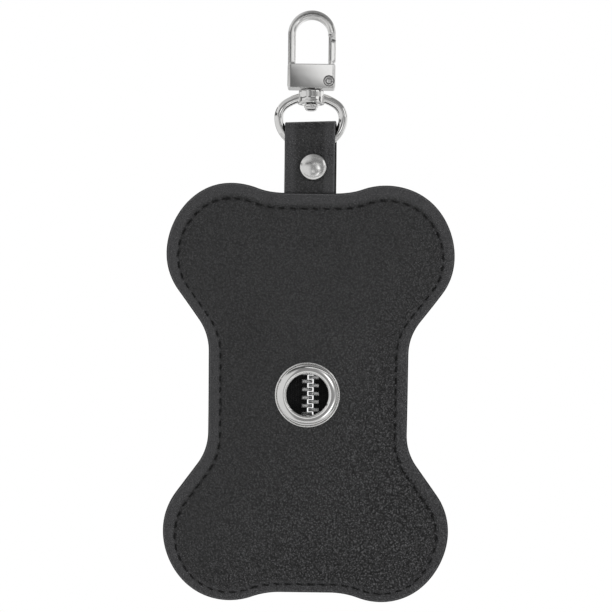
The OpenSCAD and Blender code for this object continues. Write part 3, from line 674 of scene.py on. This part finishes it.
def lump(centre, size, power=2.5, rings=7, columns=12):
    """A box with soft faces and edges: |x/a|^p + |y/b|^p + |z/c|^p = 1, as points and faces."""
    a = np.linspace(-math.pi / 2, math.pi / 2, rings)[:, None]
    b = np.linspace(-math.pi, math.pi, columns, endpoint=False)[None, :]
    x, y, z = np.cos(a) * np.cos(b), np.cos(a) * np.sin(b), np.sin(a) + 0 * b
    size = np.array(size) / 2
    k = (abs(x) ** power + abs(y) ** power + abs(z) ** power) ** (-1 / power)
    points = np.stack([x * k * size[0], y * k * size[1], z * k * size[2]], -1).reshape(-1, 3)
    return points + centre, grid_faces(rings, columns, False, True)


def block(centre, size, r):
    """A box with edges rounded by r: its XZ outline at places along Y, drawn in at both ends."""
    w, d, h = size
    rings = [(-d / 2, 1.5), (-d / 2, 1.0), (-d / 2 + 0.3 * r, 0.45), (-d / 2 + r, 0.0),
             (d / 2 - r, 0.0), (d / 2 - 0.3 * r, 0.45), (d / 2, 1.0), (d / 2, 1.5)]
    points = []
    for y, k in rings:
        o = rounded_box_outline(w - 2 * k * r, h - 2 * k * r, r * 0.8, side=3, corner=3)
        points.append(np.stack([o[:, 0], np.full(len(o), y), o[:, 1]], 1))
    n = len(points[0])
    middle = [np.mean(points[0], 0), np.mean(points[-1], 0)]
    base = len(rings) * n
    fans = ([[base, k, (k + 1) % n] for k in range(n)]
            + [[base + 1, base - n + (k + 1) % n, base - n + k] for k in range(n)])
    quads = grid_faces(len(rings), n, False, True)
    faces = np.vstack([quads, [[a, b, c, c] for a, b, c in fans]])
    return np.vstack(points + middle) + centre, faces


def tooth(side, z):
    """One tooth: a head past the centre line with its nib, a shoulder, and a leg with two ribs
    out over the tape."""
    def x(v):
        return WINDOW_X + side * v
    return [
        block([x(0.02), TAPE_Y, z], [1.32, 2.20, 1.04], 0.08),
        block([x(0.80), TAPE_Y, z], [0.30, 2.34, 1.16], 0.07),
        block([x(1.84), TAPE_Y, z], [1.92, 2.24, 1.00], 0.06),
        block([x(1.85), TAPE_Y, z + 0.36], [1.92, 2.32, 0.48], 0.05),
        block([x(1.85), TAPE_Y, z - 0.36], [1.92, 2.32, 0.48], 0.05),
        lump([x(-0.24), TAPE_Y - 1.06, z], [0.44, 0.30, 0.44]),
        lump([x(-0.24), TAPE_Y + 1.06, z], [0.44, 0.30, 0.44]),
    ]


def together(parts):
    """Several lists of points and faces as one."""
    base, points, faces = 0, [], []
    for p, f in parts:
        points.append(p)
        faces.append(np.asarray(f) + base)
        base += len(p)
    return np.vstack(points), np.vstack(faces)


TEETH, TOOTH_PITCH, HALF_TOOTH = 25, 2.7, 0.59
for side, label in ((-1, "left"), (1, "right")):
    lowest = box_mm("zip_teeth_" + label)[0][2] + HALF_TOOTH
    parts = [p for k in range(TEETH) for p in tooth(side, lowest + TOOTH_PITCH * k)]
    points, faces = together(parts)
    row = surface("zip_row_" + label, points, faces, zip_metal, "pouch", flip=True)
    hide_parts("zip_teeth_" + label)
dress(["zip_top_stops", "zip_bottom_stop"], zip_metal)

# ----------------------------------------------------------------------
# Zip seam. One row of the same thread round the window, through the leather and the tapes, with
# more stitches up each side than across each end.

places = []
outer = box_mm("back_panel")[1][1] + PROUD
up, across, row_x, row_z = 22, 4, 8.2, 42.2
for side in (-1, 1):
    for k in range(up):
        z = POUCH_Z + (k - (up - 1) / 2) * STITCH
        places.append((np.array([WINDOW_X + side * row_x, outer, z]), Z, Y, HALF_STITCH))
    for k in range(across):
        x = WINDOW_X + (k - (across - 1) / 2) * STITCH
        places.append((np.array([x, outer, POUCH_Z + side * row_z]), X, Y, HALF_STITCH))
points, faces, values = stitch_row(places)
zip_seam = surface("zip_seam_thread", points, faces, thread, "pouch", values)
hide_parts("zip_stitching")

# ----------------------------------------------------------------------
# Slider and pull. Die-cast zinc with bright nickel, as the CAD made them. The pull's rod turns
# under the slider's bridge.

cast = nickel_material("nickel_casting", (0.89, 0.885, 0.875), 0.035)
dress(["zip_slider", "zip_pull"], cast)

# ----------------------------------------------------------------------
# Strap. One strip of the same leather, folded over the ring, riveted, and sewn into the pouch's top
# seam with both ends.

strap_low, strap_high = box_mm("tab_strap")
rivet_low, rivet_high = box_mm("rivet_cap")
RIVET = (rivet_low + rivet_high) / 2
STRAP_W, STRAP_T, FOLD_R = 17.0, 1.1, 2.6
FOLD_Z = strap_high[2] - FOLD_R - STRAP_T


def strap_gap(x, z):
    """Half the room between the strap's two layers: 2.6 mm at the fold, closing along a smooth
    curve over 12.5 mm, and pressed shut for 4 mm round the rivet's middle."""
    free = (FOLD_R - GAP) * (1 - smooth((FOLD_Z - z) / 12.5))
    pressed = smooth((np.hypot(x - RIVET[0], z - RIVET[2]) - 4.0) / 5.0)
    return GAP + free * pressed


def strap_surface():
    """The strip's section, 17 by 1.1 mm with corners rubbed round, carried up the front, over the fold
    and down the back. The front layer is 0.5 mm narrower on the right, with a painted highlight along
    its rounded right edge, and the leather dips round the rivet's cap. The fold is 0.7 mm lower on its
    left than on its right."""
    section = rounded_box_outline(STRAP_W, STRAP_T, 0.3, side=36, corner=6)
    a, b = section[:, 0], section[:, 1]
    half, middle, outer_face = STRAP_W / 2, STRAP_T / 2, 0.2
    leg = np.linspace(strap_low[2], FOLD_Z, 90)
    stops = ([(-1, z, 0) for z in leg[:-1]] + [(0, FOLD_Z, t) for t in np.linspace(math.pi, 0, 40)]
             + [(1, z, 0) for z in leg[-2::-1]])
    points, edge, inner, painted_edge_highlight = [], [], [], []
    for k, (side, z, turn) in enumerate(stops):
        t = smooth((k / (len(stops) - 1) - 0.44) / 0.12)
        x = -half + (a + half) * (STRAP_W - 0.5 + 0.5 * t) / STRAP_W + 0.1 * t
        if side:
            from_cap = np.hypot(x - RIVET[0], z - RIVET[2]) - 4.6
            dip = 0.08 * np.exp(-(from_cap / 0.7) ** 2) * (b > outer_face)
            wave = 0.04 * np.sin(x / 3.1 + z / 2.3) * (b > outer_face) * (z < FOLD_Z - 12)
            y = side * (strap_gap(x, z) + middle + b - dip + wave)
            lean = 0.04 * x * smooth(1 - (FOLD_Z - z) / 8)
            points.append(np.stack([x, y, z + lean], 1))
        else:
            r = FOLD_R + middle + b
            up = (r + 0.25) * math.sin(turn)
            points.append(np.stack([x, r * math.cos(turn), FOLD_Z + up + 0.04 * x], 1))
        # Painted highlight along the front layer's rounded right edge.
        painted_edge_highlight.append(np.exp(-((a - 8.2) / 0.22) ** 2) * (b > 0) * (1 - t))
        edge.append(half + 0.1 - abs(a) + (b > outer_face) * 0.12)
        inner.append((b < -0.35) * 1.0)
    return surface("tab_leather", np.vstack(points), tube_faces(len(stops), len(a)), leather, None,
                   {"edge": np.hstack(edge), "inner": np.hstack(inner), "painted_edge_highlight": np.hstack(painted_edge_highlight)})


strap = strap_surface()
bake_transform(strap)
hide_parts("tab_strap")

# ----------------------------------------------------------------------
# Rivet. Two pressed caps of nickelled brass, the front one with the post, squeezed together
# through both layers of the strap.

satin = nickel_material("nickel_rivet", (0.90, 0.895, 0.885), 0.17)
cap_r, cap_foot, cap_rise = 4.40, 1.50, 1.36
dome = [(cap_r * math.sin(a) + 0.02, cap_foot + cap_rise * math.cos(a))
        for a in np.linspace(0, 1.54, 30)]
dome += [(cap_r, 1.38), (4.30, 1.27), (4.05, 1.20), (1.4, 1.20)]
for label, axis in (("cap", "-y"), ("socket", "y")):
    inner_end = [(1.45, 1.2), (1.45, -1.1), (0.02, -1.1)] if label == "cap" else [(0.02, 1.2)]
    piece = turned("rivet_" + label + "_dome", dome + inner_end, (RIVET[0], 0, RIVET[2]), axis, satin,
                   "strap_loop", closed=False)
    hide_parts("rivet_" + label)

# ----------------------------------------------------------------------
# Swivel ring. One zinc casting: an oval of 3 mm wire and a collar with a flared foot, bored for
# the stud. The foot's underside is dished.

ring_low, ring_high = box_mm("swivel_ring")
WIRE_R = 1.5


def ring_path(n):
    """The wire's centre line as n points (x, z): two belly arcs, two corner arcs, a top arc and
    the straight bottom bar, with directions away from the middle of each arc."""
    belly_x, belly_r, corner_x, corner_r, drop, top_r = 1.85, 8.7, 5.05, 5.5, 8.0747, 15.0247
    corner_a = math.atan2(drop, corner_x)

    def arc(x, z, r, a0, a1):
        a = np.linspace(a0, a1, 300, endpoint=False)
        u = np.stack([np.cos(a), np.sin(a)], 1)
        return np.hstack([[x, z] + r * u, u])

    h = math.pi / 2
    t = np.linspace(0, 1, 100, endpoint=False)[:, None]
    bar_row = np.hstack([[-belly_x, -belly_r] + t * [2 * belly_x, 0], np.tile([0, -1], (100, 1))])
    whole = np.vstack([arc(belly_x, 0, belly_r, -h, 0), arc(corner_x, 0, corner_r, 0, corner_a),
                       arc(0, -drop, top_r, corner_a, math.pi - corner_a),
                       arc(-corner_x, 0, corner_r, math.pi - corner_a, math.pi),
                       arc(-belly_x, 0, belly_r, math.pi, 3 * h), bar_row])
    whole = np.vstack([whole, whole[:1]])
    run = np.append(0, np.cumsum(np.hypot(*np.diff(whole[:, :2], axis=0).T)))
    at = np.arange(n) / n * run[-1]
    rows = np.stack([np.interp(at, run, whole[:, k]) for k in range(4)], 1)
    rows[:, 2:] /= np.hypot(rows[:, 2], rows[:, 3])[:, None]
    rows[:, 1] += ring_low[2] + belly_r + WIRE_R
    return rows


def collar_top_painted_shade(x, z):
    """Painted shade and a painted dark reflection on the collar's upper edge, close under the hook's
    block.
    """
    return (z - ring_high[2]).step(-0.70, -0.35)


ring_metal = nickel_material("nickel_ring", (0.89, 0.885, 0.875), 0.035, painted_shade=collar_top_painted_shade)
path_n, round_n = 200, 36
a = angles(round_n)
across, deep = WIRE_R * np.cos(a), WIRE_R * np.sin(a)
wire = np.vstack([np.stack([x + across * ox, deep, z + across * oz], 1)
                  for x, z, ox, oz in ring_path(path_n)])
collar_profile = rounded([
    (1.76, -4.2, 0.0), (2.5, -4.15, 0.2), (3.85, -4.60, 0.12), (4.36, -4.66, 0.12),
    (4.45, -4.2, 0.25), (4.16, -3.2, 0.5), (4.16, -2.5, 0.0), (4.16, -0.9, 0.0),
    (4.16, -0.45, 0.25), (3.75, -0.02, 0.25), (2.1, 0.0, 0.1), (1.76, -0.2, 0.0)])
points, faces = together([(wire, grid_faces(path_n, round_n, True, True)),
                          revolve(collar_profile, (0, 0, ring_high[2]), "z", 72)])
ring = surface("swivel_ring_casting", points, faces, ring_metal, "ring")
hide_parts("swivel_ring")

# ----------------------------------------------------------------------
# Stud. Turned steel, pressed into the hook's block. Its lower end is upset to a stepped head that
# holds the ring's collar.

steel = nickel_material("nickel_steel", (0.86, 0.855, 0.85), 0.05)
stud_low, stud_high = box_mm("swivel_stud")
shank = stud_high[2] - stud_low[2]
stud_profile = rounded([
    (0.02, 0.03, 0.0), (1.3, 0.01, 0.15), (1.92, 0.40, 0.25), (2.08, 0.98, 0.1),
    (2.0, 1.06, 0.04), (2.34, 1.16, 0.1), (2.34, 2.05, 0.08), (1.7, 2.08, 0.0),
    (1.7, shank - 0.1, 0.15), (0.02, shank - 0.05, 0.0)])
stud = turned("stud_turned", stud_profile, (0, 0, stud_low[2]), "z", steel, "hook", 72, closed=False)
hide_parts("swivel_stud")

# ----------------------------------------------------------------------
# Snap hook. A cast frame with its bow and block, and a gate on a riveted pin, shut by a coil spring
# in the block. The frame and the gate are as the CAD made them.

pin_low, pin_high = box_mm("gate_pin")
pin_x, _, pin_z = (pin_low + pin_high) / 2


def away(x, z, centre_x, centre_z):
    """The distance from a centre, as a Shade."""
    u, v = x - centre_x, z - centre_z
    return (u * u + v * v) ** 0.5


def pin_hollow_painted_shade(x, z):
    """Painted shade in the hollow of the pin's upset head and in the gap round it."""
    r = away(x, z, pin_x, pin_z)
    return r.band(0.70, 0.85, 0.98, 1.12) + r.band(1.40, 1.52, 1.72, 1.86)


def gate_gap_painted_shade(x, z):
    """Painted shade along the gap between the gate's round nose and the bow's tip: over the nose, down
    beside it and out to the right."""
    nose_x, nose_z, side_x, foot_z, slant = 5.925, -0.625, 6.475, -1.60, 0.37
    over = away(x, z, nose_x, nose_z).band(0.42, 0.50, 0.62, 0.72) * z.step(-0.62, -0.50)
    down = (x - side_x).band(-0.175, -0.075, 0.075, 0.175) * z.band(-1.72, foot_z, -0.35, -0.15)
    fall = z - foot_z + (x - side_x) * slant
    out = fall.band(-0.18, -0.08, 0.08, 0.18) * x.step(6.35, 6.45)
    return over + down + out


hook_metal = nickel_material("nickel_hook", (0.89, 0.885, 0.875), 0.035, round_above=-0.01,
                             painted_shade=lambda x, z: pin_hollow_painted_shade(x, z) + gate_gap_painted_shade(x, z))
pin_metal = nickel_material("nickel_pin", (0.86, 0.855, 0.85), 0.05, painted_shade=pin_hollow_painted_shade)
dress(["hook_frame", "gate"], hook_metal)
pin_head = [(0.02, 2.80, 0.0), (0.35, 2.80, 0.1), (0.55, 2.66, 0.1), (0.85, 2.66, 0.1),
            (1.05, 2.88, 0.1), (1.32, 2.86, 0.1), (1.37, 2.64, 0.0), (0.9, 2.62, 0.0)]
pin_profile = rounded([(r, -y, fillet) for r, y, fillet in pin_head] + pin_head[::-1])
pin = turned("gate_pin_riveted", pin_profile, (pin_x, 0, pin_z), "y", pin_metal, "hook", 48,
             closed=False)
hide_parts("gate_pin")


def coil(turns_n, length, r, wire_r, steps=24, sides=8):
    """A coil spring along X: the wire's middle is (u length, r cos 2 pi n u, r sin 2 pi n u)."""
    u = np.linspace(0, 1, turns_n * steps)
    t = 2 * math.pi * turns_n * u
    centre = np.stack([wire_r + u * (length - 2 * wire_r), r * np.cos(t), r * np.sin(t)], 1)
    radial = np.stack([0 * t, np.cos(t), np.sin(t)], 1)
    a = angles(sides)[None, :, None]
    points = centre[:, None] + wire_r * (np.cos(a) * radial[:, None] + np.sin(a) * X)
    return points.reshape(-1, 3), grid_faces(len(u), sides, False, True)


low, high = box_mm("gate_spring")
points, faces = coil(turns_n=9, length=high[0] - low[0], r=1.08, wire_r=0.17)
points = points + [low[0], 0, (low[2] + high[2]) / 2]
spring = surface("gate_spring_coil", points, faces, steel, "hook")
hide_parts("gate_spring")

# ----------------------------------------------------------------------
# Stage. A pale floor under the view, a white surround, three soft lamps, and self-lit paper cards,
# seen only in reflections, whose painted greys and painted highlights the polished metal mirrors. The
# camera stands as the photographer did, square to the pouch.

WALL, FOOT, HEAD = 0.85, -0.44, 0.60


def quad(name, low, high, mat):
    """A flat piece of the stage, level or upright, between two opposite corners."""
    u, v = [k for k in range(3) if low[k] != high[k]]
    points = np.array([low] * 4, float)
    points[1:3, u] = high[u]
    points[2:, v] = high[v]
    mesh = bpy.data.meshes.new(name)
    mesh.from_pydata(points.tolist(), [], [(0, 1, 2, 3)])
    mesh.materials.append(mat)
    piece = bpy.data.objects.new(name, mesh)
    bpy.context.scene.collection.objects.link(piece)
    return piece


paper, s, feed = material("floor_paper", {"Roughness": 0.9, "Specular IOR Level": 0.1})
tone = s.noise(s.place(), 3.0, 1.0)
feed(Base_Color=tone.mix((0.74, 0.74, 0.74), (0.82, 0.82, 0.82)))
quad("floor", (-1.2, -1.0, -0.45), (1.2, 0.6, -0.45), paper)


def card(name, low, high, shade):
    """A self-lit card with the grey shade(x, y, z) of places in metres. Only reflections see it,
    so it neither lights nor darkens anything matt."""
    made, s, feed = material(name + "_paper", {"Base Color": (0, 0, 0, 1), "Roughness": 1.0,
                                               "Specular IOR Level": 0.0, "Emission Strength": 1.0})
    feed(Emission_Color=shade(*s.place().split()) + 0.0)
    piece = quad(name, low, high, made)
    piece.visible_camera = False
    piece.visible_diffuse = False
    piece.visible_shadow = False


def blend_grey(k, a, b):
    """Grey a where k is 0 and grey b where k is 1."""
    return k * b + (1.0 - k) * a


def glow(x, z, centre, lean, length, width):
    """A painted highlight on a card, shaped as a window with soft edges: 1 in the middle, a half at
    length and width from it. lean turns its length from the x axis."""
    c, s = math.cos(math.radians(lean)), math.sin(math.radians(lean))
    x, z = x - centre[0], z - centre[1]
    u, v = (x * c + z * s) / length, (z * c - x * s) / width
    q = u * u + v * v
    return 1.0 / (1.0 + q * q)


BORDER, CLIMB = (0.1264, 0.1272), 0.17


def above_collar(side, z):
    """1 on the part of a card that only the hook mirrors, 0 on the part for the collar and below
    it. The border is at BORDER + CLIMB (sqrt(side^2 + WALL^2) - WALL), as the mirrored view of
    both climbs with the distance; side is x or y."""
    return (z - ((side * side + WALL * WALL) ** 0.5 - WALL) * CLIMB).step(*BORDER)


def front_shade(x, y, z):
    """What stands round the camera: a pale wall on the left, a darker room on the right with a small
    painted highlight straight ahead and two painted window highlights that stand in for the lamps, and
    above them the strips that the snap hook and its collar mirror."""
    walls = blend_grey((x - z.step(-0.12, -0.02) * 0.02).step(-0.160, -0.092), 0.70, 0.24)
    walls = walls + glow(x, z, (0.0, -0.177), 0, 0.05, 0.05)
    collar = blend_grey(x.step(-0.38, -0.22), 0.62, 0.24)
    block = blend_grey((x + (z - 0.14) * 0.9).step(-0.030, 0.026), 0.11, 0.98)
    block = block * blend_grey(z.step(0.128, 0.134), 0.5, 1.0)
    strips = blend_grey(x.band(-0.09, -0.05, 0.05, 0.09) * z.step(*BORDER), collar, block)
    strips = blend_grey(z.step(0.149, 0.154), strips, 0.95)
    left = z.step(0.148, 0.156) * (1.0 - x.step(-0.05, -0.005))
    strips = blend_grey(left, strips, 0.08)
    strips = blend_grey(z.step(0.190, 0.196), strips, 0.04)
    strips = blend_grey(z.step(0.245, 0.275), strips, blend_grey(x.step(-0.2, 0.0), 0.55, 0.24))
    narrow = x.band(-0.55, -0.35, 0.45, 0.60)
    shade = blend_grey(z.step(0.096, 0.106), walls, collar)
    shade = blend_grey(narrow * above_collar(x, z), shade, strips)
    shade = blend_grey((1.0 - narrow) * z.step(0.14, 0.20), shade, walls)
    upper_window = glow(x, z, (0.25, -0.01), 130, 0.09, 0.045)
    lower_window = glow(x, z, (0.24, -0.385), 48, 0.15, 0.04)
    return shade + (upper_window + lower_window) * 2.0


def left_shade(x, y, z):
    """A pale wall with one dark shelf, and darkness behind the object at the hook's height."""
    shelf = blend_grey(z.band(0.165, 0.185, 0.28, 0.31), 0.74, 0.10)
    return blend_grey(y.step(0.10, 0.16) * above_collar(y, z), shelf, 0.08)


def right_shade(x, y, z):
    """A mid-grey wall with a painted window highlight, and above the collar white that ends in dark.
    """
    wall = blend_grey(y.step(-0.7, -0.4), 0.22, 0.62) + glow(y, z, (-0.62, -0.2), 90, 0.2, 0.06)
    return blend_grey(above_collar(y, z), wall, blend_grey(y.step(-0.24, -0.20), 1.0, 0.12))


card("card_front", (-WALL, -WALL, FOOT), (0.80, -WALL, HEAD), front_shade)
card("card_left", (-WALL, -WALL, FOOT), (-WALL, 0.80, HEAD), left_shade)
card("card_right", (WALL, -WALL, FOOT), (WALL, 0.12, HEAD), right_shade)
card("card_top", (-WALL, -WALL, 0.62), (WALL, 0.40, 0.62),
     lambda x, y, z: blend_grey(x.step(-0.35, 0.05), 0.55, 0.25))
card("card_back", (-WALL, WALL, FOOT), (WALL, WALL, HEAD),
     lambda x, y, z: blend_grey((z + x * 0.6).step(-0.35, 0.10), 0.30, 0.92))
card("card_low", (-0.6, -0.60, FOOT), (0.6, -0.46, FOOT),
     lambda x, y, z: blend_grey(y.step(-0.6, -0.4), 0.30, 0.36))


def lamp(name, place, target, size, power, spread=180):
    """A soft lamp at place, aimed at target, that no metal mirrors. A grid on its front holds the
    light to spread degrees, which here keeps the low lamp off the floor."""
    light = bpy.data.lights.new(name, "AREA")
    light.shape = "RECTANGLE"
    light.size, light.size_y = size
    light.energy = power
    light.spread = math.radians(spread)
    piece = bpy.data.objects.new(name, light)
    bpy.context.scene.collection.objects.link(piece)
    z = np.array(place) - target
    z /= np.linalg.norm(z)
    x = np.cross([0, 0, 1], z)
    x /= np.linalg.norm(x)
    y = np.cross(z, x)
    piece.matrix_world = Matrix([[x[0], y[0], z[0], place[0]], [x[1], y[1], z[1], place[1]],
                                 [x[2], y[2], z[2], place[2]], [0, 0, 0, 1]])
    piece.visible_glossy = False


middle = np.array([0, 0, -0.09])
lamp("lamp_left", (-0.50, -0.62, 0.32), middle, (0.60, 0.60), 1.9)
lamp("lamp_right", (0.52, -0.52, 0.30), middle, (0.24, 0.24), 2.0)
lamp("lamp_low", (0.46, -0.56, -0.36), middle, (0.24, 0.20), 0.56, 90)

# The surround is white where it is seen or mirrored, and weaker as a light.
world = bpy.data.worlds.new("surround")
bpy.context.scene.world = world
world.use_nodes = True
w = Shade(world.node_tree)
path = w.node("ShaderNodeLightPath")
rays = {o.name: Shade(w.tree, o) for o in path.socket.node.outputs}
seen = (rays["Is Camera Ray"] + rays["Is Glossy Ray"] + rays["Is Transmission Ray"]).step(0.0, 1.0)
plain = world.node_tree.nodes["Background"]
plain.inputs["Color"].default_value = (1, 1, 1, 1)
w.tree.links.new(blend_grey(seen, 0.62, 1.0).socket, plain.inputs["Strength"])

# The bow's centre, the origin, is seen at bow_px. scale is pixels to the millimetre there,
# distance the camera's in mm, and roll how far the photograph leans.
photo_px, bow_px = 612, (312.1, 35.2)
scale, distance, roll = 3.044, 420.0, math.radians(0.75)
right, down = ((px - photo_px / 2) / scale for px in bow_px)
c, s = math.cos(roll), math.sin(roll)
x = -(right * c + down * s)
z = -right * s + down * c
lens = bpy.data.cameras.new("camera")
lens.sensor_width = 36.0
lens.lens = lens.sensor_width * scale * distance / photo_px
camera = bpy.data.objects.new("camera", lens)
bpy.context.scene.collection.objects.link(camera)
camera.matrix_world = Matrix([[c, -s, 0, x / 1000], [0, 0, -1, -distance / 1000],
                              [s, c, 0, z / 1000], [0, 0, 0, 1]])
bpy.context.scene.camera = camera
bpy.context.scene.view_settings.view_transform = "Standard"
